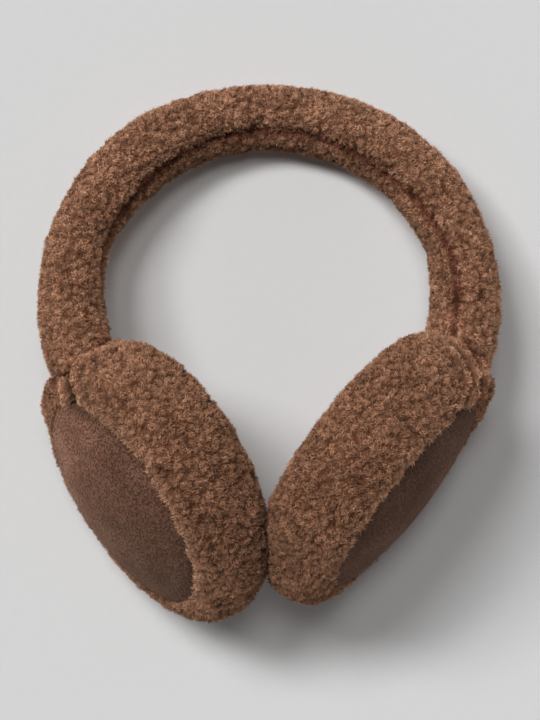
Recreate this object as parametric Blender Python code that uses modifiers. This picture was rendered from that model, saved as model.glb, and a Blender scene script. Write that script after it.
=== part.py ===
"""Fur earmuffs lying flat: a fur headband, two fur ear cushions and the suede disc on each.

Metres, +Z up. The pair lies on the plane z = 0, centred over the origin, with the top of the headband
towards +Y. The headband slants: its top rests on the surface, and its ends are held up by the
cushions, which stand on their edges and lean together, so that the suede discs face outwards and a
little upwards.
"""

import math
from collections import namedtuple

import bmesh
import bpy
from mathutils import Matrix, Vector

# Headband: a padded fur tube along a circular arch, with a sewn seam on its inner side
ARCH_RADIUS = 0.0739
ARCH_TILT_ANGLE = math.radians(19.5)
ARCH_ROLL_ANGLE = math.radians(2.5)
ARCH_OVERRUN_ANGLE = math.radians(24.2)
BAND_WIDTH = 0.0256
BAND_DEPTH = 0.0276
SEAM_DEPTH = 0.0032
SEAM_HALF_ANGLE = math.radians(11)

# Ear cushion: a padded fur puck, thick at its rim and a little dished on the ear side
CUSHION_RADIUS = 0.0562
CUSHION_BODY = 0.0318
LIP_HEIGHT = 0.0048
LIP_FAR_SHARE = 0.10
LIP_SKEW_ANGLE = math.radians(20)
FAR_DROP = 0.0085
DISH_DEPTH = 0.0045
FOLD_HEIGHT = 0.0026
FOLD_SKEW_ANGLE = math.radians(16)

# Suede disc: a shallow dome of leather, set inside the fur lip
DISC_RADIUS = 0.0425
DISC_RISE = 0.0065
DISC_THICKNESS = 0.0015

# How the pieces meet each other and the surface
GAP = 0.0003
DISC_EDGE_GAP = 0.0006
SOCKET_DEPTH = 0.0085
SOCKET_FROM_DISC = 0.0170
FUR_PRESS = 0.0012
MOST_TOE_IN_ANGLE = math.radians(80)
TOE_IN_HALVINGS = 16

# Mesh fineness
BAND_STATION_COUNT = 57
BAND_SIDE_COUNT = 22
BAND_SIDE_CROWDING = 0.45
CUSHION_SEGMENTS = 80
SEGMENT_CROWDING = 0.55
SEAT_RINGS = 4
FACE_RINGS = 3
STEPS_PER_RIM_ROW = 2
DISC_STEPS = 40
DISC_RINGS = 4

# Stations along the headband. Columns: place along the arch in degrees from the left side, girth as a
# share of the tube's own, drift out of the circle as a share of the tube's width, and how far the
# seam is turned up from the inner side of the arch, in degrees.
BAND_STATIONS = (
    (-24, 1.03, 0.00, 10),
    (-8, 1.03, -0.01, 10),
    (8, 0.95, 0.00, 12),
    (20, 0.91, 0.03, 14),
    (32, 0.97, 0.00, 18),
    (45, 1.01, 0.00, 24),
    (60, 0.98, -0.01, 30),
    (75, 0.94, -0.02, 34),
    (90, 0.92, -0.02, 36),
    (105, 0.94, -0.01, 36),
    (120, 0.95, 0.02, 30),
    (135, 0.97, 0.04, 30),
    (150, 0.95, 0.04, 42),
    (165, 0.91, 0.03, 56),
    (180, 0.97, 0.00, 68),
    (204, 0.99, -0.03, 72),
)

# Section of the fur rim, from the suede disc's edge over the lip and round to the ear side; its first
# row only gives the curve its start, which the edge of the disc's seat takes the place of.
# Columns: place across the rim's width, depth as a share of the body's, and the shares of the lip's
# height, of the far side's drop and of the folds that show there.
RIM_SECTION = (
    (0.00, 0.055, 0.00, 0.00, 0.0),
    (0.06, 0.00, 0.62, 0.06, 0.1),
    (0.32, 0.00, 1.00, 0.32, 0.9),
    (0.68, 0.00, 0.62, 0.68, 1.0),
    (0.92, 0.13, 0.00, 0.73, 1.0),
    (1.00, 0.36, 0.00, 0.42, 0.9),
    (0.95, 0.62, 0.00, 0.05, 0.6),
    (0.72, 0.85, 0.00, 0.00, 0.3),
    (0.34, 0.97, 0.00, 0.00, 0.1),
    (-0.12, 1.00, 0.00, 0.00, 0.0),
)

# Gathers of the fur round the headband's root. Columns: place round the rim in degrees from the
# headband towards the upper side, height as a share of FOLD_HEIGHT, and half width in degrees.
LEFT_FOLDS = (
    (-36, -0.4, 7.0),
    (-16, 0.3, 10.0),
    (8, -1.5, 4.5),
    (22, 0.5, 6.0),
    (38, 0.3, 7.0),
)
RIGHT_FOLDS = (
    (-14, 0.6, 7.0),
    (-1, -0.7, 3.0),
    (6, 1.0, 3.4),
    (15, 1.0, 3.2),
    (24, 0.9, 3.2),
    (33, 0.7, 3.4),
    (43, 0.6, 3.6),
    (54, 0.4, 4.0),
)

# How each ear stands: the side of the middle plane that it is on, how far its cushion is pressed
# against that plane as a share of the body's thickness, how far its disc is turned up, and how much
# thicker its cushion is at the headband than at its middle.
Ear = namedtuple("Ear", "name side press lean taper folds")
EARS = (
    Ear("left", -1, 0.0318, math.radians(26.0), 0.10, LEFT_FOLDS),
    Ear("right", 1, 0.1444, math.radians(15.3), 0.06, RIGHT_FOLDS),
)

FUR_COLOUR = (0.205, 0.100, 0.062, 1.0)
FUR_ROUGHNESS = 0.95
SUEDE_COLOUR = (0.130, 0.070, 0.047, 1.0)
SUEDE_ROUGHNESS = 0.9

# One ring of the cushion's surface, before it is bent to its ear
Ring = namedtuple("Ring", "radius rise depth lip drop fold")


def clear_scene():
    for obj in list(bpy.data.objects):
        bpy.data.objects.remove(obj)


def collection(name, hidden=False):
    made = bpy.data.collections.new(name)
    bpy.context.scene.collection.children.link(made)
    made.hide_render = hidden
    return made


def material(name, colour, roughness):
    made = bpy.data.materials.new(name)
    made.use_nodes = True
    shader = made.node_tree.nodes["Principled BSDF"]
    shader.inputs["Base Color"].default_value = colour
    shader.inputs["Roughness"].default_value = roughness
    shader.inputs["Metallic"].default_value = 0.0
    return made


def add_mesh(name, bm, group, finish=None):
    mesh = bpy.data.meshes.new(name)
    bm.to_mesh(mesh)
    bm.free()
    if finish:
        mesh.materials.append(finish)
        mesh.shade_smooth()
    obj = bpy.data.objects.new(name, mesh)
    group.objects.link(obj)
    return obj


def smooth_row(rows, position):
    """The row at a fractional index, on a smooth curve through the rows."""
    last = len(rows) - 1
    index = min(int(position), last - 1)
    t = position - index
    before, start, end, after = (
        Vector(rows[min(max(index + k, 0), last)]) for k in (-1, 0, 1, 2)
    )
    return 0.5 * (
        2 * start
        + (end - before) * t
        + (2 * before - 5 * start + 4 * end - after) * t**2
        + (3 * start - before - 3 * end + after) * t**3
    )


def band_station(degrees):
    """Girth, drift and seam turn at a place along the arch."""
    rows = BAND_STATIONS
    index = max(k for k in range(len(rows) - 1) if k == 0 or rows[k][0] <= degrees)
    share = (degrees - rows[index][0]) / (rows[index + 1][0] - rows[index][0])
    _, girth, drift, seam_turn = smooth_row(rows, index + min(max(share, 0.0), 1.0))
    return girth, drift, seam_turn


def arch_point(degrees):
    """A point of the centreline in the arch's own plane, counted from the left side over the top."""
    angle = math.radians(degrees)
    radius = ARCH_RADIUS + band_station(degrees)[1] * BAND_WIDTH
    return Vector((-math.cos(angle) * radius, math.sin(angle) * radius, 0))


def band_section(group, clearance):
    """The tube's outline with the groove of its seam on the side of angle 0, as a curve to sweep."""
    curve = bpy.data.curves.new("band_section", "CURVE")
    curve.dimensions = "2D"
    spline = curve.splines.new("POLY")
    spline.points.add(BAND_SIDE_COUNT - 1)
    for k, point in enumerate(spline.points):
        turn = 2 * math.pi * k / BAND_SIDE_COUNT
        angle = turn - BAND_SIDE_CROWDING * math.sin(turn)
        off_seam = 2 * math.sin(angle / 2) / SEAM_HALF_ANGLE
        inset = SEAM_DEPTH * math.exp(-(off_seam**2)) - clearance
        x = (BAND_WIDTH / 2 - inset) * math.cos(angle)
        y = (BAND_DEPTH / 2 - inset) * math.sin(angle)
        point.co = (x, y, 0, 1)
    spline.use_cyclic_u = True
    section = bpy.data.objects.new("band_section", curve)
    group.objects.link(section)
    return section


def band_tube(name, group, helpers, clearance=0.0, finish=None):
    """The headband's tube, made a mesh so that it can be cut or be a cutter."""
    curve = bpy.data.curves.new(name, "CURVE")
    curve.dimensions = "3D"
    curve.twist_mode = "Z_UP"
    curve.bevel_mode = "OBJECT"
    curve.bevel_object = band_section(helpers, clearance)
    curve.use_fill_caps = True
    spline = curve.splines.new("POLY")
    spline.points.add(BAND_STATION_COUNT - 1)
    overrun = math.degrees(ARCH_OVERRUN_ANGLE + clearance / ARCH_RADIUS)
    for k, point in enumerate(spline.points):
        degrees = -overrun + (180 + 2 * overrun) * k / (BAND_STATION_COUNT - 1)
        girth, _, seam_turn = band_station(degrees)
        point.co = (*arch_point(degrees), 1)
        point.radius = girth
        point.tilt = -math.radians(seam_turn)
    guide = bpy.data.objects.new(name + "_guide", curve)
    helpers.objects.link(guide)
    guide.rotation_euler = (-ARCH_TILT_ANGLE, ARCH_ROLL_ANGLE, 0)
    bpy.context.view_layer.update()
    evaluated = guide.evaluated_get(bpy.context.evaluated_depsgraph_get())
    bm = bmesh.new()
    bm.from_mesh(bpy.data.meshes.new_from_object(evaluated))
    bmesh.ops.remove_doubles(bm, verts=bm.verts, dist=1e-5)
    bmesh.ops.recalc_face_normals(bm, faces=bm.faces)
    tube = add_mesh(name, bm, group, finish)
    tube.matrix_world = guide.matrix_world
    bpy.data.objects.remove(guide)
    return tube


def disc_height(radius):
    """Height of the suede dome's outer face above its edge."""
    return DISC_RISE * (1 - (radius / DISC_RADIUS) ** 2)


def cushion_rings():
    """Rings of the cushion from the middle of the disc's seat to the middle of the ear side."""
    seat_radius = DISC_RADIUS + DISC_EDGE_GAP
    rim_width = CUSHION_RADIUS - seat_radius
    edge_slope = 2 * DISC_RISE / DISC_RADIUS
    under = (DISC_THICKNESS + GAP) * math.hypot(1, edge_slope)
    rings = []
    for k in range(SEAT_RINGS + 1):
        radius = seat_radius * k / SEAT_RINGS
        rings.append(Ring(radius, disc_height(radius) - under, 0.0, 0.0, 0.0, 0.0))
    for k in range(1, (len(RIM_SECTION) - 1) * STEPS_PER_RIM_ROW + 1):
        across, depth, *shares = smooth_row(RIM_SECTION, k / STEPS_PER_RIM_ROW)
        rings.append(Ring(seat_radius + across * rim_width, 0.0, depth, *shares))
    crest_radius = rings[-1].radius
    for k in range(1, FACE_RINGS + 1):
        share = k / FACE_RINGS
        dish = DISH_DEPTH * (3 * share**2 - 2 * share**3)
        rings.append(Ring(crest_radius * (1 - share), dish, 1.0, 0.0, 0.0, 0.0))
    return rings


def fold_height(folds, degrees):
    """How far the gathers push the fur out at this place round the rim."""
    offset = (degrees + 180) % 360 - 180
    return FOLD_HEIGHT * sum(
        height * math.exp(-(((offset - place) / half_width) ** 2))
        for place, height, half_width in folds
    )


def bare_point(ring, turn, ear):
    """(radius, height) on a ring without the gathers, at a turn from the headband's root."""
    lip_share = 0.5 + 0.5 * math.sin(turn - LIP_SKEW_ANGLE)
    lip = LIP_HEIGHT * (LIP_FAR_SHARE + (1 - LIP_FAR_SHARE) * lip_share)
    drop = FAR_DROP * (0.5 - 0.5 * math.sin(turn))
    body = CUSHION_BODY * (1 + ear.taper * math.cos(turn) * ring.radius / CUSHION_RADIUS)
    height = ring.rise - ring.depth * body + ring.lip * lip - ring.drop * drop
    return Vector((ring.radius, height))


def cushion_point(rings, index, turn, ear):
    """(radius, height) of the cushion's surface, with the gathers pushed out along its normal."""
    point = bare_point(rings[index], turn, ear)
    before = bare_point(rings[max(index - 1, 0)], turn, ear)
    after = bare_point(rings[min(index + 1, len(rings) - 1)], turn, ear)
    along = after - before
    outward = Vector((-along.y, along.x)).normalized()
    skewed = math.degrees(turn - FOLD_SKEW_ANGLE * rings[index].depth)
    return point + outward * rings[index].fold * fold_height(ear.folds, skewed)


def ear_cushion(name, ear, group, finish):
    """A fur cushion about its own axis: +Z out of the suede side, +X towards the headband's root."""
    rings = cushion_rings()
    last = len(rings) - 1
    bm = bmesh.new()
    bmesh.ops.create_uvsphere(bm, u_segments=CUSHION_SEGMENTS, v_segments=last, radius=1.0)
    for vert in bm.verts:
        index = round(math.acos(min(max(vert.co.z, -1.0), 1.0)) / math.pi * last)
        even = math.atan2(vert.co.y, vert.co.x)
        turn = even - SEGMENT_CROWDING * math.sin(even)
        radius, height = cushion_point(rings, index, turn, ear)
        vert.co = (radius * math.cos(turn), ear.side * radius * math.sin(turn), height)
    bmesh.ops.recalc_face_normals(bm, faces=bm.faces)
    return add_mesh(name, bm, group, finish)


def suede_disc(name, group, finish):
    """A leather dome turned about +Z, with its edge at z = 0."""
    bm = bmesh.new()
    verts = []
    for k in range(DISC_RINGS + 1):
        radius = DISC_RADIUS * k / DISC_RINGS
        verts.append(bm.verts.new((radius, 0, disc_height(radius))))
    for start, end in zip(verts, verts[1:]):
        bm.edges.new((start, end))
    disc = add_mesh(name, bm, group)
    disc.data.materials.append(finish)
    turned = disc.modifiers.new("turned", "SCREW")
    turned.steps = turned.render_steps = DISC_STEPS
    turned.use_merge_vertices = True
    turned.merge_threshold = 0.00005
    turned.use_smooth_shade = True
    wall = disc.modifiers.new("wall", "SOLIDIFY")
    wall.thickness = DISC_THICKNESS
    wall.offset = -1
    return disc


def block(name, group, low, high):
    """A box cutter between two corners."""
    bm = bmesh.new()
    bmesh.ops.create_cube(bm, size=1.0)
    for vert in bm.verts:
        vert.co = [b if c > 0 else a for a, b, c in zip(low, high, vert.co)]
    obj = add_mesh(name, bm, group)
    obj.hide_render = True
    obj.display_type = "WIRE"
    return obj


def cut(obj, *cutters):
    for cutter in cutters:
        step = obj.modifiers.new(cutter.name, "BOOLEAN")
        step.operation = "DIFFERENCE"
        step.solver = "EXACT"
        step.object = cutter


def lowest(obj, turned):
    return min((turned @ vert.co).z for vert in obj.data.vertices)


def ear_axes(ear, toe_in, dip):
    """Rotation of an ear's own axes: +X to the headband's root, dipped below the level, +Z out."""
    level = Vector((ear.side * math.sin(toe_in), math.cos(toe_in), 0))
    outwards = Vector((ear.side * math.cos(toe_in), -math.sin(toe_in), 0))
    out = outwards * math.cos(ear.lean) + Vector((0, 0, math.sin(ear.lean)))
    upper = Vector((0, 0, math.cos(ear.lean))) - outwards * math.sin(ear.lean)
    to_root = level * math.cos(dip) - upper * math.sin(dip)
    return Matrix((to_root, out.cross(to_root), out)).transposed()


def ear_place(ear, cushion, root, toe_in):
    """The ear's place: it stands on its edge on the surface and takes the headband's end in its rim."""
    reach = CUSHION_RADIUS - SOCKET_DEPTH
    height = -FUR_PRESS - lowest(cushion, ear_axes(ear, toe_in, 0.0))
    rise = height - root.z - SOCKET_FROM_DISC * math.sin(ear.lean)
    slope = rise / (reach * math.cos(ear.lean))
    turned = ear_axes(ear, toe_in, math.asin(min(max(slope, -1.0), 1.0)))
    place = root - turned @ Vector((reach, 0, -SOCKET_FROM_DISC))
    place.z = -FUR_PRESS - lowest(cushion, turned)
    return Matrix.Translation(place) @ turned.to_4x4()


def stand_ear(ear, cushion, root):
    """The place of an ear that is turned inwards until its cushion presses on the middle plane."""
    least, most = 0.0, MOST_TOE_IN_ANGLE
    for _ in range(TOE_IN_HALVINGS):
        toe_in = (least + most) / 2
        place = ear_place(ear, cushion, root, toe_in)
        beyond = -min(ear.side * (place @ vert.co).x for vert in cushion.data.vertices)
        if beyond < ear.press * CUSHION_BODY:
            least = toe_in
        else:
            most = toe_in
    return place


def centre_over_origin(parts):
    """Moves everything so that the whole lies centred over the origin."""
    bpy.context.view_layer.update()
    graph = bpy.context.evaluated_depsgraph_get()
    points = []
    for obj in parts.objects:
        if obj.type == "MESH":
            mesh = obj.evaluated_get(graph).to_mesh()
            points += [obj.matrix_world @ vert.co for vert in mesh.vertices]
    middle = [(min(p[k] for p in points) + max(p[k] for p in points)) / 2 for k in (0, 1)]
    for obj in bpy.data.objects:
        if obj.parent is None:
            obj.location -= Vector((*middle, 0))


def main():
    clear_scene()
    parts = collection("fur_earmuffs")
    cutters = collection("cutters", hidden=True)
    fur = material("fur", FUR_COLOUR, FUR_ROUGHNESS)
    suede = material("suede", SUEDE_COLOUR, SUEDE_ROUGHNESS)

    headband = band_tube("headband", parts, cutters, finish=fur)
    socket = band_tube("socket_cutter", cutters, cutters, clearance=GAP)
    lift = Vector((0, 0, -FUR_PRESS - lowest(headband, headband.matrix_world)))
    for tube in (headband, socket):
        tube.location += lift
    size = 4 * (ARCH_RADIUS + CUSHION_RADIUS)
    floor = block("floor_cutter", cutters, (-size, -size, -size), (size, size, 0))
    cut(headband, floor)

    bpy.context.view_layer.update()
    for ear in EARS:
        cushion = ear_cushion(ear.name + "_ear_cushion", ear, parts, fur)
        disc = suede_disc(ear.name + "_suede_disc", parts, suede)
        end = math.degrees(ARCH_OVERRUN_ANGLE)
        root = headband.matrix_world @ arch_point(180 + end if ear.side > 0 else -end)
        hub = bpy.data.objects.new(ear.name + "_ear", None)
        parts.objects.link(hub)
        hub.matrix_world = stand_ear(ear, cushion, root)
        cushion.parent = disc.parent = hub
        low, high = sorted((-ear.side * size, ear.side * GAP / 2))
        beyond = block(ear.name + "_side_cutter", cutters, (low, -size, -size), (high, size, size))
        cut(cushion, socket, floor, beyond)

    centre_over_origin(parts)


main()
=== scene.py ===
"""Looks of the fur earmuffs: curled fur on the headband and cushions, and suede on the discs."""

import math

import bmesh
import bpy
import numpy as np
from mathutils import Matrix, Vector
from mathutils.bvhtree import BVHTree
from mathutils.kdtree import KDTree


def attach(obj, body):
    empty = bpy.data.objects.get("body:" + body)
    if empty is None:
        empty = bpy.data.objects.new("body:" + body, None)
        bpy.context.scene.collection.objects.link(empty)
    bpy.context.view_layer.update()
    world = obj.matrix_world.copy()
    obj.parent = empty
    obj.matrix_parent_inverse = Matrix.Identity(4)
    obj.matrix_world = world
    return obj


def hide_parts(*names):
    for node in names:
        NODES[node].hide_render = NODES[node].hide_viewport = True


# Suede discs, the same sizes as the solids
DISC_RADIUS = 0.0425
DISC_RISE = 0.0065
DISC_THICKNESS = 0.0015
DISC_RINGS = 30
DISC_SEGMENTS = 96

# Name of the mesh layer that holds each point's tone, with the painted light and shade in it
TONE_AND_PAINTED_SHADE_LAYER = "tone"

# Fur: a skin below the pile's outer form, and locks of curled hair on it
SKIN_VOXEL = 0.00125
SKIN_SMOOTHINGS = 4
SKIN_INSET = 0.0014
LUMP_HEIGHT = 0.0006
LIP_HEIGHT = 0.0011
LIP_REACH = 0.0028
LOCK_SPACING = 0.0021
LOCK_ROUNDING = 0.6
CURL_HEIGHT = 0.00045
# Painted light in the middle of each curl and painted shade at its edges
CURL_PAINTED_LIGHT_AND_SHADE = 0.52
BRIGHT_SHARE = 0.16
BRIGHT_TONE = 1.65
HAIR_LENGTH = 0.0025
HAIR_WIDTH = 0.00032
HAIRS_PER_MM2 = 5.9
MOST_HAIRS_IN_PIECE = 90000
LIP_WIDTH = 0.0035
LIP_OVERHANG = 0.5

# Fur colours: the roots are painted darker than the tips, as shade deep in the pile
ROOT_COLOUR = np.array((0.165, 0.062, 0.035))
TIP_COLOUR = np.array((0.53, 0.275, 0.162))
# Painted shade in creases, valleys and near other pieces: the colour it darkens towards, and how deep
# and how near it reaches
PAINTED_SHADE_COLOUR = np.array((0.42, 0.25, 0.24))
HOLLOW_STEPS = 14
HOLLOW_DEPTH = 0.0004
NEAR_REACH = 0.0035
# Painted light and shade: the headband's pile is lighter overall, and the cushions' deeper pile is
# painted darker as its shade
BAND_PAINTED_LIGHT = 1.06
CUSHION_PAINTED_SHADE = 0.92

# Noise in the fur's shade. Columns: share, size of its features and seed.
MOTTLE = ((0.08, 0.0014, 3), (0.14, 0.0028, 4), (0.20, 0.006, 5), (0.07, 0.016, 6))
# Painted shade in the pile's low places and painted light on its high places
RELIEF_PAINTED_LIGHT_AND_SHADE = 0.20

# Hair that starts within this reach of another piece, seen a little ahead of it, is left out
HIDDEN_AHEAD = 0.0003
HIDDEN_REACH = 0.0004

# Gathers beside the headband's ends: arcs round a point in plan. Columns: the point, the way they
# bulge, radius of the first and of the last valley, and step.
GATHERS = {
    "left": ((-0.0598, -0.0107), -1, 0.0143, 0.0143, 0.0055),
    "right": ((0.0588, -0.0107), 1, 0.0146, 0.0187, 0.0041),
}
GATHER_DEPTH = 0.0025
GATHER_LOW = 0.045

# Painted light and shade on each disc: how light it is, and how much lighter it gets towards the band
# and the lower edge
DISC_PAINTED_LIGHT_AND_SHADE = {"left": (0.64, 0.75, 0.40), "right": (0.40, -0.05, 0.30)}

# The headband's arch in plan, for the pile's shade across it
ARCH_MIDDLE = (0.0, 0.0135)
ARCH_RADIUS = 0.0735
BAND_HALF_WIDTH = 0.013

CAMERA_HEIGHT = 1.2
CAMERA_Y = -0.004
CAMERA_LENS = 155.4

# Soft studio lamps. Columns: name, the way the light travels, energy and width in degrees.
LAMPS = (
    ("key", (0.32, -0.42, -1.0), 1.00, 14),
    ("second_key", (0.62, -0.42, -1.0), 1.00, 14),
    ("overhead", (0.0, -0.25, -1.0), 0.53, 14),
)

# Pale surroundings that glow near the horizon and light the sides. Columns: sine of height, colour.
HORIZON_GLOW = (
    (0.0, (1.0, 1.0, 1.0)),
    (0.15, (1.0, 1.0, 1.0)),
    (0.32, (0.025, 0.025, 0.025)),
)
GLOW_STRENGTH = 1.7

RNG = np.random.default_rng(7)


def unit(vectors):
    return vectors / np.maximum(np.linalg.norm(vectors, axis=-1, keepdims=True), 1e-9)


def mesh_arrays(mesh):
    """Vertices, their normals and triangles of a mesh."""
    points = np.empty(len(mesh.vertices) * 3)
    mesh.vertices.foreach_get("co", points)
    normals = np.empty(len(mesh.vertices) * 3)
    mesh.vertices.foreach_get("normal", normals)
    mesh.calc_loop_triangles()
    triangles = np.empty(len(mesh.loop_triangles) * 3, dtype=np.int32)
    mesh.loop_triangles.foreach_get("vertices", triangles)
    return points.reshape(-1, 3), normals.reshape(-1, 3), triangles.reshape(-1, 3)


def new_object(name, mesh, material):
    mesh.materials.append(material)
    obj = bpy.data.objects.new(name, mesh)
    bpy.context.scene.collection.objects.link(obj)
    return obj


def colour_points(mesh, colours):
    layer = mesh.color_attributes.new(name=TONE_AND_PAINTED_SHADE_LAYER, type="FLOAT_COLOR", domain="POINT")
    rgba = np.ones((len(colours), 4), dtype=np.float32)
    rgba[:, :3] = np.clip(colours, 0, 1)
    layer.data.foreach_set("color", rgba.ravel())


def lattice_noise(points, size, seed):
    """Smooth noise from -1 to 1 with features of that size."""
    scaled = points / size
    corner = np.floor(scaled).astype(np.int64)
    share = scaled - corner
    share = share * share * (3 - 2 * share)
    total = np.zeros(len(points))
    for dx in (0, 1):
        for dy in (0, 1):
            for dz in (0, 1):
                x, y, z = (corner + (dx, dy, dz)).T
                mixed = (x * 73856093) ^ (y * 19349663) ^ (z * 83492791) ^ (seed * 2654435761)
                mixed = (mixed ^ (mixed >> 13)) * 1274126177
                value = ((mixed ^ (mixed >> 16)) & 0xFFFF) / 32767.5 - 1
                wx = share[:, 0] if dx else 1 - share[:, 0]
                wy = share[:, 1] if dy else 1 - share[:, 1]
                wz = share[:, 2] if dz else 1 - share[:, 2]
                total += value * wx * wy * wz
    return total


def smooth_skin(node):
    """The node's form as an even, smooth mesh, drawn in below the pile."""
    mesh = node.data.copy()
    helper = bpy.data.objects.new("helper", mesh)
    bpy.context.scene.collection.objects.link(helper)
    remesh = helper.modifiers.new("even", "REMESH")
    remesh.mode = "VOXEL"
    remesh.voxel_size = SKIN_VOXEL
    smooth = helper.modifiers.new("smooth", "SMOOTH")
    smooth.factor = 0.5
    smooth.iterations = SKIN_SMOOTHINGS
    bpy.context.view_layer.update()
    evaluated = helper.evaluated_get(bpy.context.evaluated_depsgraph_get())
    skin = bpy.data.meshes.new_from_object(evaluated)
    bpy.data.objects.remove(helper)
    bpy.data.meshes.remove(mesh)
    skin.materials.clear()
    return skin


def doubled_areas(points, triangles):
    a, b, c = (points[triangles[:, k]] for k in range(3))
    return np.linalg.norm(np.cross(b - a, c - a), axis=1)


def spread(points, normals, triangles, count, tones):
    """Random points over the surface, with their normals and tones."""
    areas = doubled_areas(points, triangles)
    picked = RNG.choice(len(triangles), count, p=areas / areas.sum())
    a = RNG.random((count, 1))
    b = RNG.random((count, 1))
    flip = (a + b) > 1
    a = np.where(flip, 1 - a, a)
    b = np.where(flip, 1 - b, b)
    tri = triangles[picked]

    def mixed(values):
        return values[tri[:, 0]] * (1 - a - b) + values[tri[:, 1]] * a + values[tri[:, 2]] * b

    return mixed(points), unit(mixed(normals)), mixed(tones)


def spaced(points, spacing):
    """Indices of a subset of the points that keep that spacing."""
    taken = {}
    kept = []
    for index, point in enumerate(points):
        cell = tuple(np.floor(point / spacing).astype(int))
        near = (
            other
            for dx in (-1, 0, 1)
            for dy in (-1, 0, 1)
            for dz in (-1, 0, 1)
            for other in taken.get((cell[0] + dx, cell[1] + dy, cell[2] + dz), ())
        )
        if all(sum((a - b) ** 2 for a, b in zip(point, other)) > spacing**2 for other in near):
            taken.setdefault(cell, []).append(point)
            kept.append(index)
    return np.array(kept)


def nearest(points, targets):
    """For each point the index of the nearest target and the distance to it."""
    tree = KDTree(len(targets))
    for index, target in enumerate(targets):
        tree.insert(target, index)
    tree.balance()
    found = [tree.find(point) for point in points]
    return np.array([f[1] for f in found]), np.array([f[2] for f in found])


def tangents(normals):
    """Two directions across each normal."""
    helper = np.where(np.abs(normals[:, 2:3]) < 0.9, (0.0, 0.0, 1.0), (1.0, 0.0, 0.0))
    first = unit(np.cross(helper, normals))
    return first, np.cross(normals, first)


def hair_mesh(name, place, normal, lock_point, curl, lean, lying, length, tone):
    """Bent blades of hair as one mesh, each painted darker at the root, as shade deep in the pile, and
    lighter at the tip.
    """
    count = len(place)
    first, second = tangents(normal)
    first_rise = RNG.normal(68, 10, count) * (1 - lying)
    bends = ((first_rise, 0.0, 0.55, 0.05), (RNG.normal(10, 26, count), 1.0, 0.45, 0.14))
    path = [place]
    for rise, turned, share, pull in bends:
        rise = np.radians(rise)[:, None]
        azimuth = lean + curl * turned
        flat = np.cos(azimuth)[:, None] * first + np.sin(azimuth)[:, None] * second
        point = path[-1] + (np.cos(rise) * flat + np.sin(rise) * normal) * (length * share)[:, None]
        drawn = lock_point - point
        drawn -= (drawn * normal).sum(1, keepdims=True) * normal
        path.append(point + drawn * pull)
    across = unit(np.cross(path[2] - path[0], normal + RNG.normal(0, 0.3, (count, 3))))
    side = across * HAIR_WIDTH / 2
    verts = np.stack((path[0], path[1] - side, path[1] + side, path[2]), axis=1)
    verts[:, :, 2] = np.maximum(verts[:, :, 2], 0.0001)

    corners = ((np.arange(count) * 4)[:, None] + (0, 2, 1, 1, 2, 3)).ravel()
    mesh = bpy.data.meshes.new(name)
    mesh.vertices.add(count * 4)
    mesh.vertices.foreach_set("co", verts.reshape(-1).astype(np.float32))
    mesh.loops.add(len(corners))
    mesh.loops.foreach_set("vertex_index", corners.astype(np.int32))
    mesh.polygons.add(count * 2)
    mesh.polygons.foreach_set("loop_start", np.arange(0, count * 6, 3).astype(np.int32))
    mesh.update(calc_edges=True)
    mesh.shade_smooth()

    # A lying stretch is lit like the curl that it belongs to, and an upright one like a flat blade
    off_lock = path[2] - lock_point
    off_lock -= (off_lock * normal).sum(1, keepdims=True) * normal
    rounding = LOCK_ROUNDING * off_lock / LOCK_SPACING
    curl_normal = unit(normal + rounding + RNG.normal(0, 0.08, (count, 3)))
    facing = []
    for k in (0, 1):
        blade = unit(np.cross(across, path[k + 1] - path[k]))
        lying = np.clip((blade * normal).sum(1, keepdims=True), 0, 1)
        facing.append(unit(blade * (1 - lying) + curl_normal * lying))
    middle = unit(facing[0] + facing[1])
    by_corner = np.stack((facing[0], middle, middle, middle, middle, facing[1]), axis=1)
    mesh.normals_split_custom_set(by_corner.reshape(-1, 3).tolist())

    # Painted shade: each blade darkens from its tip to its root
    along = np.array((0.1, 0.7, 0.7, 1.0))
    shade = ROOT_COLOUR + (TIP_COLOUR - ROOT_COLOUR) * along[None, :, None]
    colour_points(mesh, (shade * tone[:, None, :]).reshape(-1, 3))
    return mesh


def folds(points, gathers):
    """Where the gathers are, from 0 to 1, and their height, from -1 in a valley to 1 on a ridge."""
    middle, side, first, last, step = gathers
    arm = points[:, :2] - middle
    arc = np.hypot(arm[:, 0], arm[:, 1]) + 0.0005 * lattice_noise(points, 0.007, 13)
    beyond = np.maximum(np.maximum(first - arc, arc - last), 0) / step
    share = np.clip(1.3 - beyond, 0, 1)
    share *= np.clip(3 * (side * arm[:, 0] / arc - 0.35), 0, 1)
    share *= np.clip((points[:, 2] - GATHER_LOW) / 0.01, 0, 1)
    return share, -np.cos(2 * math.pi * (arc - first) / step)


def cushion_relief(points, disc, gathers):
    """Height of the lip round the disc, and of the gathers beside the band's end."""
    share, fold = folds(points, gathers)
    ridges = GATHER_DEPTH * share * (0.6 * fold - 0.2)

    centre, across, up, out = disc
    offset = points - centre
    x, y, height = offset @ across, offset @ up, offset @ out
    radius = np.hypot(x, y)
    lip = np.exp(-(((radius - DISC_RADIUS - LIP_WIDTH / 2) / LIP_WIDTH) ** 2))
    lip *= height > -2 * LIP_WIDTH
    scallops = 0.75 + 0.6 * lattice_noise(points, 0.0045, 14)
    return ridges + LIP_HEIGHT * lip * scallops * np.clip(0.35 + y / radius, 0, 1)


def relief_of(*cushion):
    """Height of the pile's top above its mean at each point."""

    def relief(points):
        swell = LUMP_HEIGHT * (
            0.6 * lattice_noise(points, 0.0034, 8) + 0.6 * lattice_noise(points, 0.0065, 9)
        )
        return swell + cushion_relief(points, *cushion) if cushion else swell

    return relief


def tilted(points, normals, relief):
    """The normals, tilted with the relief's slopes."""
    step = 0.0003
    turned = normals.copy()
    for direction in tangents(normals):
        slope = (relief(points + direction * step) - relief(points - direction * step)) / (2 * step)
        turned -= slope[:, None] * direction
    return unit(turned)


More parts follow.
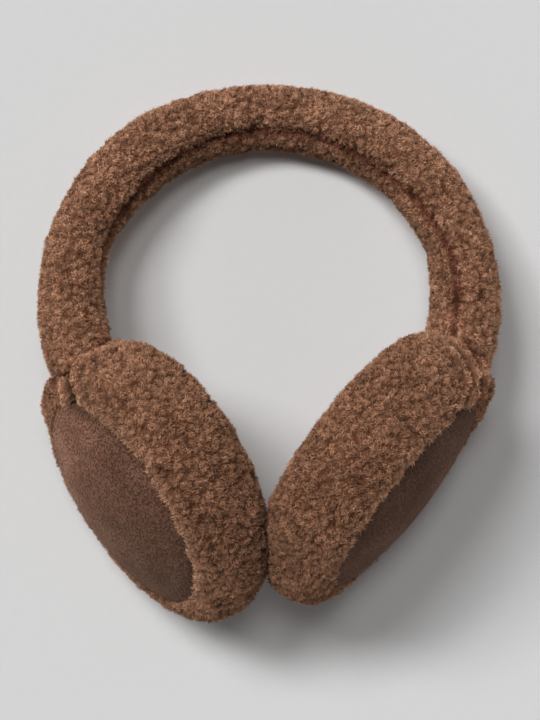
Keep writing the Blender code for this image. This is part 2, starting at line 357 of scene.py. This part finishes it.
def mottle(points, relief):
    """How the fur's tone varies over the surface, about 1: random mottle, with painted shade low in
    the relief and painted light high on it. The dark is redder.
    """
    shade = np.ones(len(points))
    for share, size, seed in MOTTLE:
        shade = shade + share * lattice_noise(points, size, seed)
    return redder_dark(shade + RELIEF_PAINTED_LIGHT_AND_SHADE * np.clip(relief(points) / LUMP_HEIGHT, -3, 1.3))


def redder_dark(shade):
    return np.maximum(shade, 0.15)[:, None] ** np.array((1.0, 1.15, 1.25))


def hollowness(mesh, points, normals):
    """How deep each vertex lies in a crease or valley, from 0 to 1."""
    edges = np.empty(len(mesh.edges) * 2, dtype=np.int32)
    mesh.edges.foreach_get("vertices", edges)
    edges = edges.reshape(-1, 2)
    degree = np.bincount(edges.ravel(), minlength=len(points))[:, None]

    def averaged(values):
        total = np.zeros_like(values)
        np.add.at(total, edges[:, 0], values[edges[:, 1]])
        np.add.at(total, edges[:, 1], values[edges[:, 0]])
        return total / degree

    smoothed = points
    for _ in range(HOLLOW_STEPS):
        smoothed = averaged(smoothed)
    depth = ((smoothed - points) * normals).sum(1, keepdims=True)
    for _ in range(3):
        depth = averaged(depth)
    return np.clip(depth[:, 0] / HOLLOW_DEPTH, 0, 1)


def closeness(points, trees):
    """How close each point lies to other pieces, from 0 at NEAR_REACH to 1 where they meet."""
    close = np.zeros(len(points))
    for tree in trees:
        for index, point in enumerate(points):
            distance = tree.find_nearest(point, NEAR_REACH)[3]
            if distance is not None:
                close[index] = max(close[index], 1 - distance / NEAR_REACH)
    return close


def lip_lean(place, normal, disc):
    """Where hair hangs over a disc's edge, from 0 to 1, and the azimuth to the disc's middle."""
    centre, _, up, out = disc
    offset = place - centre
    height = offset @ out
    flat = offset - height[:, None] * out
    radius = np.linalg.norm(flat, axis=1)
    share = np.clip(1.6 - np.abs(radius - DISC_RADIUS - LIP_WIDTH / 2) / (LIP_WIDTH / 2), 0, 1)
    share *= np.clip(0.6 + (flat @ up) / radius, 0, 1)
    first, second = tangents(normal)
    inward = -flat
    return share * (height > -LIP_WIDTH), np.arctan2((inward * second).sum(1), (inward * first).sum(1))


def band_painted_light_and_shade(points):
    """Painted light and shade: along the top of the arch the pile is lighter outside and darker
    inside, below the crease.
    """
    x, y = (points[:, :2] - ARCH_MIDDLE).T
    radius = np.hypot(x, y)
    outward = np.clip((radius - ARCH_RADIUS) / BAND_HALF_WIDTH, -1, 1)
    at_top = np.clip(1.6 * y / radius - 0.4, 0, 1)
    return BAND_PAINTED_LIGHT * (1 + at_top * np.where(outward > 0, 0.16, 0.45) * outward)


def cushion_painted_shade(points):
    """Painted shade: the pile is a little darker towards the free end of the cushions."""
    return CUSHION_PAINTED_SHADE * (1.03 - 0.25 * np.clip((-0.01 - points[:, 1]) / 0.08, 0, 1))


def fur(node_name, neighbours, hidden, painted_light_and_shade_of, relief, fur_material, disc=None, gathers=None):
    """The skin and the hair of one fur node. hidden tells where other pieces cover it."""
    node = NODES[node_name]
    skin = smooth_skin(node)
    points, normals, triangles = mesh_arrays(skin)
    area = doubled_areas(points, triangles).sum() / 2
    # Painted shade: the tone, which the hairs take too, is darkened in creases and valleys and near
    # the other pieces
    painted_crease_and_contact_shade = np.maximum(hollowness(skin, points, normals), closeness(points, neighbours))[:, None]
    skin_tone = redder_dark(painted_light_and_shade_of(points)) * mottle(points, relief)
    skin_tone = skin_tone * (1 - painted_crease_and_contact_shade * (1 - PAINTED_SHADE_COLOUR))

    draft, _, _ = spread(points, normals, triangles, int(area / LOCK_SPACING**2 * 3), skin_tone)
    locks = draft[spaced(draft, LOCK_SPACING)]
    lock_curl = RNG.choice((-1.0, 1.0), len(locks)) * RNG.uniform(0.9, 2.1, len(locks))
    lock_lean = RNG.uniform(0, 2 * math.pi, len(locks))
    lock_tone = RNG.uniform(0.85, 1.15, len(locks))
    lock_height = RNG.uniform(-0.5, 0.5, len(locks)) * CURL_HEIGHT

    place, normal, tone = spread(
        points, normals, triangles, int(area * 1e6 * HAIRS_PER_MM2), skin_tone
    )
    visible = ~hidden(place, normal)
    place, normal, tone = place[visible], normal[visible], tone[visible]
    home, distance = nearest(place + 0.0007 * lattice_noise(place, 0.0018, 15)[:, None], locks)
    # Painted light and shade: each hair is lighter near its curl's middle and darker towards the gaps
    # between curls
    crest = 1 - (distance / (0.75 * LOCK_SPACING)) ** 2
    tone = tone * redder_dark(1 + CURL_PAINTED_LIGHT_AND_SHADE * (crest - 0.45)) * lock_tone[home][:, None]
    bright = RNG.random(len(place)) < BRIGHT_SHARE
    tone = tone * (RNG.uniform(0.88, 1.06, len(place)) * np.where(bright, BRIGHT_TONE, 1))[:, None]
    length = HAIR_LENGTH * RNG.uniform(0.75, 1.2, len(place))
    lean = lock_lean[home] + RNG.normal(0, 0.8, len(place))
    curl = lock_curl[home] * RNG.uniform(0.7, 1.3, len(place))
    lying = np.zeros(len(place))
    turned = tilted(place, normal, relief)
    if disc:
        share, inward = lip_lean(place, turned, disc)
        over_disc = RNG.random(len(place)) < share
        lean = np.where(over_disc, inward + RNG.normal(0, 0.45, len(place)), lean)
        curl = np.where(over_disc, curl * 0.3, curl)
        lying = np.where(over_disc, 0.35, lying)
        length = length * (1 + LIP_OVERHANG * share)
        folded, fold = folds(place, gathers)
        length = length * (1 - 0.25 * folded)
        # Painted shade in the gathers' valleys and painted light on their ridges
        tone = tone * redder_dark(1 + folded * (0.50 * fold - 0.25))
    height = relief(place) + CURL_HEIGHT * (crest - 0.5) + lock_height[home] - SKIN_INSET
    moved = place + normal * height[:, None]
    if disc:
        scallops = np.clip(0.3 + 1.2 * lattice_noise(place, 0.0036, 16), 0, 1)
        first, second = tangents(turned)
        over = np.cos(inward)[:, None] * first + np.sin(inward)[:, None] * second
        moved += over * (LIP_REACH * np.clip(share, 0, 1) * scallops)[:, None]
    place = moved
    normal = turned

    pieces = []
    parts = math.ceil(len(place) / MOST_HAIRS_IN_PIECE)
    for number, rows in enumerate(np.array_split(np.argsort(place[:, 0]), parts)):
        name = node_name + "_hair" + (f"_{number + 1}" if parts > 1 else "")
        columns = (place, normal, locks[home], curl, lean, lying, length, tone)
        mesh = hair_mesh(name, *(column[rows] for column in columns))
        pieces.append(new_object(name, mesh, fur_material))

    moved = points + normals * (relief(points) - SKIN_INSET)[:, None]
    moved[:, 2] = np.maximum(moved[:, 2], 0.0)
    skin.vertices.foreach_set("co", moved.ravel())
    skin.update()
    skin.shade_smooth()
    # Painted shade: the skin between the hairs takes a colour close to the dark roots
    colour_points(skin, (ROOT_COLOUR + 0.15 * (TIP_COLOUR - ROOT_COLOUR)) * skin_tone)
    skin_piece = new_object(node_name + "_fur", skin, fur_material)
    pieces.append(skin_piece)
    for piece in pieces:
        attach(piece, "root")
    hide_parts(node_name)


def disc_axes(node):
    """Centre of the disc's edge plane and three directions, the last one out of the suede side."""
    points, _, _ = mesh_arrays(node.data)
    middle = points.mean(0)
    _, _, rows = np.linalg.svd(points - middle, full_matrices=False)
    out = rows[2] if rows[2][2] > 0 else -rows[2]
    across = unit(np.cross(out, (0.0, 0.0, 1.0)))
    up = np.cross(out, across)
    if up[2] < 0:
        across, up = -across, -up
    heights = (points - middle) @ out
    top = heights.max()
    centre = points[heights > top - 0.0005].mean(0)
    centre = centre + out * (top - DISC_RISE - ((centre - middle) @ out))
    return centre, across, up, out


def suede_disc(side, disc, suede_material):
    """A crowned leather dome with its edge turned in under the fur."""
    centre, across, up, out = disc
    segments = DISC_SEGMENTS
    bm = bmesh.new()
    layers = []
    profile = [
        (DISC_RADIUS * math.sin(0.5 * math.pi * k / DISC_RINGS) ** 0.8, None)
        for k in range(1, DISC_RINGS + 1)
    ]
    turn_in = [(DISC_RADIUS, -0.0007), (DISC_RADIUS - 0.0006, -0.0014)]
    for radius, drop in profile + turn_in:
        height = DISC_RISE * (1 - (radius / DISC_RADIUS) ** 2) if drop is None else drop
        layer = []
        for k in range(segments):
            angle = 2 * math.pi * k / segments
            flat = centre + across * (radius * math.cos(angle)) + up * (radius * math.sin(angle))
            layer.append(flat + out * height)
        layers.append(np.array(layer))
    points = np.concatenate(layers)
    swell = 0.00022 * lattice_noise(points, 0.017, 11) + 0.00008 * lattice_noise(points, 0.006, 12)
    points = points + out * swell[:, None]
    verts = [bm.verts.new(point) for point in points]
    hub = bm.verts.new(centre + out * DISC_RISE)
    under = bm.verts.new(centre - out * DISC_THICKNESS + out * (DISC_RISE * 0.9))
    for k in range(segments):
        after = (k + 1) % segments
        bm.faces.new((hub, verts[k], verts[after]))
        for ring in range(len(layers) - 1):
            a, b = ring * segments, (ring + 1) * segments
            bm.faces.new((verts[a + k], verts[b + k], verts[b + after], verts[a + after]))
        last = (len(layers) - 1) * segments
        bm.faces.new((under, verts[last + after], verts[last + k]))
    bmesh.ops.recalc_face_normals(bm, faces=bm.faces)
    mesh = bpy.data.meshes.new(side + "_suede")
    bm.to_mesh(mesh)
    bm.free()
    mesh.shade_smooth()
    points, _, _ = mesh_arrays(mesh)

    # Painted light and shade change across the disc, and a painted shadow of the fur's lip darkens the
    # upper rim
    offset = points - centre
    radius = np.linalg.norm(offset, axis=1)
    lightness, towards_band, towards_edge = DISC_PAINTED_LIGHT_AND_SHADE[side]
    lean = (towards_band * offset[:, 1] - towards_edge * (offset @ up)) / DISC_RADIUS
    painted_lip_shadow = np.clip((radius / DISC_RADIUS - 0.83) / 0.12, 0, 1)
    painted_lip_shadow *= np.clip(0.35 + (offset @ up) / radius, 0, 1)
    shade = lightness * np.exp(lean) * (1 - 0.7 * painted_lip_shadow)
    colour_points(mesh, np.clip(shade, 0.1, 1)[:, None] ** np.array((1.0, 1.02, 1.04)))
    piece = new_object(side + "_suede", mesh, suede_material)
    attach(piece, "root")
    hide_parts(side + "_suede_disc")


def node_tree(name):
    material = bpy.data.materials.new(name)
    material.use_nodes = True
    tree = material.node_tree
    return material, tree, tree.nodes["Principled BSDF"]


def noise_node(tree, coordinates, scale, detail):
    noise = tree.nodes.new("ShaderNodeTexNoise")
    noise.inputs["Scale"].default_value = scale
    noise.inputs["Detail"].default_value = detail
    noise.inputs["Roughness"].default_value = 0.6
    tree.links.new(coordinates.outputs["Object"], noise.inputs["Vector"])
    return noise


def ramp_node(tree, source, stops):
    ramp = tree.nodes.new("ShaderNodeValToRGB")
    elements = ramp.color_ramp.elements
    for element, (place, colour) in zip(elements, (stops[0], stops[-1])):
        element.position = place
        element.color = (*colour, 1)
    for place, colour in stops[1:-1]:
        element = elements.new(place)
        element.color = (*colour, 1)
    tree.links.new(source, ramp.inputs["Fac"])
    return ramp


def multiply(tree, first, second, share):
    mix = tree.nodes.new("ShaderNodeMix")
    mix.data_type = "RGBA"
    mix.blend_type = "MULTIPLY"
    mix.inputs["Factor"].default_value = share
    tree.links.new(first, mix.inputs["A"])
    tree.links.new(second, mix.inputs["B"])
    return mix.outputs["Result"]


def fur_look():
    material, tree, shader = node_tree("curled_fur")
    coordinates = tree.nodes.new("ShaderNodeTexCoord")
    tone = tree.nodes.new("ShaderNodeAttribute")
    tone.attribute_name = TONE_AND_PAINTED_SHADE_LAYER
    fine = noise_node(tree, coordinates, 1400, 3)
    streaks = ramp_node(tree, fine.outputs["Fac"], ((0.3, (0.72, 0.70, 0.68)), (0.7, (1.0, 1.0, 1.0))))
    colour = multiply(tree, tone.outputs["Color"], streaks.outputs["Color"], 1.0)
    tree.links.new(colour, shader.inputs["Base Color"])
    shader.inputs["Roughness"].default_value = 0.9
    shader.inputs["Specular IOR Level"].default_value = 0.1
    shader.inputs["Sheen Weight"].default_value = 0.6
    shader.inputs["Sheen Roughness"].default_value = 0.5
    shader.inputs["Sheen Tint"].default_value = (0.95, 0.60, 0.38, 1)
    return material


def suede_look():
    material, tree, shader = node_tree("brushed_suede")
    coordinates = tree.nodes.new("ShaderNodeTexCoord")
    nap = noise_node(tree, coordinates, 55, 4)
    nap_tone = ramp_node(
        tree,
        nap.outputs["Fac"],
        ((0.3, (0.225, 0.101, 0.063)), (0.5, (0.300, 0.143, 0.091)), (0.72, (0.398, 0.200, 0.134))),
    )
    grain = noise_node(tree, coordinates, 1150, 2)
    grain_stops = ((0.40, (0.22, 0.19, 0.17)), (0.60, (1.0, 1.0, 1.0)))
    grain_tone = ramp_node(tree, grain.outputs["Fac"], grain_stops)
    colour = multiply(tree, nap_tone.outputs["Color"], grain_tone.outputs["Color"], 0.95)
    brushed = tree.nodes.new("ShaderNodeAttribute")
    brushed.attribute_name = TONE_AND_PAINTED_SHADE_LAYER
    colour = multiply(tree, colour, brushed.outputs["Color"], 1.0)
    tree.links.new(colour, shader.inputs["Base Color"])
    bump = tree.nodes.new("ShaderNodeBump")
    bump.inputs["Strength"].default_value = 0.35
    bump.inputs["Distance"].default_value = 0.0003
    tree.links.new(grain.outputs["Fac"], bump.inputs["Height"])
    tree.links.new(bump.outputs["Normal"], shader.inputs["Normal"])
    shader.inputs["Roughness"].default_value = 0.92
    shader.inputs["Specular IOR Level"].default_value = 0.05
    shader.inputs["Sheen Weight"].default_value = 0.07
    shader.inputs["Sheen Roughness"].default_value = 0.6
    shader.inputs["Sheen Tint"].default_value = (0.90, 0.66, 0.50, 1)
    return material


def floor_look():
    material, tree, shader = node_tree("pale_paper")
    coordinates = tree.nodes.new("ShaderNodeTexCoord")
    fine = noise_node(tree, coordinates, 300, 2)
    stops = ((0.3, (0.795, 0.795, 0.795)), (0.7, (0.805, 0.805, 0.805)))
    tone = ramp_node(tree, fine.outputs["Fac"], stops)
    tree.links.new(tone.outputs["Color"], shader.inputs["Base Color"])
    shader.inputs["Roughness"].default_value = 1.0
    shader.inputs["Specular IOR Level"].default_value = 0.0
    return material


def add_floor():
    bm = bmesh.new()
    bmesh.ops.create_grid(bm, x_segments=1, y_segments=1, size=6.0)
    mesh = bpy.data.meshes.new("floor")
    bm.to_mesh(mesh)
    bm.free()
    floor = new_object("floor", mesh, floor_look())


def add_camera():
    data = bpy.data.cameras.new("camera")
    data.sensor_fit = "VERTICAL"
    data.sensor_height = 36
    data.lens = CAMERA_LENS
    camera = bpy.data.objects.new("camera", data)
    camera.location = (0, CAMERA_Y, CAMERA_HEIGHT)
    bpy.context.scene.collection.objects.link(camera)
    bpy.context.scene.camera = camera


def add_lights():
    for name, travel, energy, width in LAMPS:
        data = bpy.data.lights.new(name, "SUN")
        data.energy = energy
        data.angle = math.radians(width)
        lamp = bpy.data.objects.new(name, data)
        lamp.rotation_euler = Vector(travel).to_track_quat("-Z", "Y").to_euler()
        lamp.location = -Vector(travel)
        bpy.context.scene.collection.objects.link(lamp)
    world = bpy.data.worlds.new("studio")
    world.use_nodes = True
    tree = world.node_tree
    coordinates = tree.nodes.new("ShaderNodeTexCoord")
    split = tree.nodes.new("ShaderNodeSeparateXYZ")
    tree.links.new(coordinates.outputs["Generated"], split.inputs["Vector"])
    brightness = ramp_node(tree, split.outputs["Z"], HORIZON_GLOW)
    tree.links.new(brightness.outputs["Color"], tree.nodes["Background"].inputs["Color"])
    tree.nodes["Background"].inputs["Strength"].default_value = GLOW_STRENGTH
    bpy.context.scene.world = world


def tree_of(node_name):
    points, _, triangles = mesh_arrays(NODES[node_name].data)
    return BVHTree.FromPolygons(points.tolist(), triangles.tolist())


def near_surface(points, tree, reach):
    """Which points lie within reach of the surface."""
    return np.array([tree.find_nearest(point, reach)[0] is not None for point in points])


def band_hidden(cushions):
    """Tells where the cushions cover the headband."""

    def hidden(place, normal):
        ahead = place + normal * HIDDEN_AHEAD
        first, second = (near_surface(ahead, cushion, HIDDEN_REACH) for cushion in cushions)
        return first | second

    return hidden


def cushion_hidden(disc, band):
    """Tells where the disc and the headband cover a cushion."""
    centre, _, _, out = disc

    def hidden(place, normal):
        offset = place - centre
        height = offset @ out
        radius = np.linalg.norm(offset - height[:, None] * out, axis=1)
        under_disc = (radius < DISC_RADIUS - 0.001) & (height > -0.004)
        ahead = place + normal * HIDDEN_AHEAD
        return under_disc | near_surface(ahead, band, HIDDEN_REACH)

    return hidden


bpy.context.scene.view_settings.view_transform = "Standard"
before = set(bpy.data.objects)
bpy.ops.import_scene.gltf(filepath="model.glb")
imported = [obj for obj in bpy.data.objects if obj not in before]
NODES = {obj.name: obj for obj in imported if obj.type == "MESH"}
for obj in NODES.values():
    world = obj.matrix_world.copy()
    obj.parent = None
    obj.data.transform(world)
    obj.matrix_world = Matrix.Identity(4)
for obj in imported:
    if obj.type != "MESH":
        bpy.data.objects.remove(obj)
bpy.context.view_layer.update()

add_camera()
add_lights()
add_floor()
FUR = fur_look()
SUEDE = suede_look()
TREES = {name: tree_of(name) for name in ("headband", "left_ear_cushion", "right_ear_cushion")}
BAND, LEFT, RIGHT = TREES.values()
fur("headband", (LEFT, RIGHT), band_hidden((LEFT, RIGHT)), band_painted_light_and_shade, relief_of(), FUR)
for SIDE, OTHER in (("left", RIGHT), ("right", LEFT)):
    DISC = disc_axes(NODES[SIDE + "_suede_disc"])
    RELIEF = relief_of(DISC, GATHERS[SIDE])
    HIDDEN = cushion_hidden(DISC, BAND)
    CUSHION = SIDE + "_ear_cushion"
    fur(CUSHION, (BAND, OTHER), HIDDEN, cushion_painted_shade, RELIEF, FUR, DISC, GATHERS[SIDE])
    suede_disc(SIDE, DISC, SUEDE)
